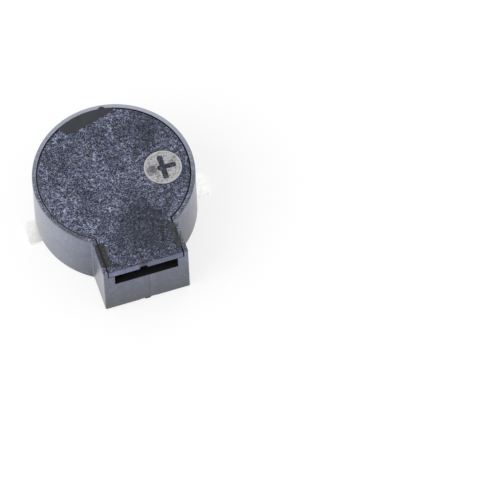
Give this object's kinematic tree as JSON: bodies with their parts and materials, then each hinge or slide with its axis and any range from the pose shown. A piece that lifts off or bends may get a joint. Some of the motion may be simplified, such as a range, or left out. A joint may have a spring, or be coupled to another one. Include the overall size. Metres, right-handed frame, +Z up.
{
  "type": "magnetic buzzer",
  "caption": "Surface-mount magnetic buzzer: round moulded case with a square nozzle and side sound slot, lid with a plus mark, coil and magnet motor, tinned solder pads.",
  "frame": {"origin": "on the axis of the round body, in the plane that the two solder pads stand on", "axes": "+Z up through the lid, -Y out of the sound slot in the nozzle, +X towards the positive pad"},
  "size_m": [0.0104, 0.0105, 0.0039],
  "materials": {
    "case_plastic": "matte",
    "lid_plastic": "matte",
    "tinned_strip": "satin",
    "soft_steel": "satin",
    "plated_magnet": "satin",
    "enamelled_copper": "satin",
    "solder": "gloss",
    "membrane_steel": "satin",
    "adhesive": "satin"
  },
  "bodies": {
    "root": {"case": "case_plastic", "lid": "lid_plastic", "terminal_positive": "tinned_strip", "terminal_negative": "tinned_strip", "yoke_plate": "soft_steel", "pole_core": "soft_steel", "ring_magnet": "plated_magnet", "coil_winding": "enamelled_copper", "coil_lead_start": "enamelled_copper", "coil_lead_end": "enamelled_copper", "solder_joint_positive": "solder", "solder_joint_negative": "solder", "diaphragm": "membrane_steel", "armature_disc": "soft_steel", "lid_adhesive_rear": "adhesive", "lid_adhesive_left": "adhesive", "lid_adhesive_right": "adhesive"}
  },
  "joints": []
}
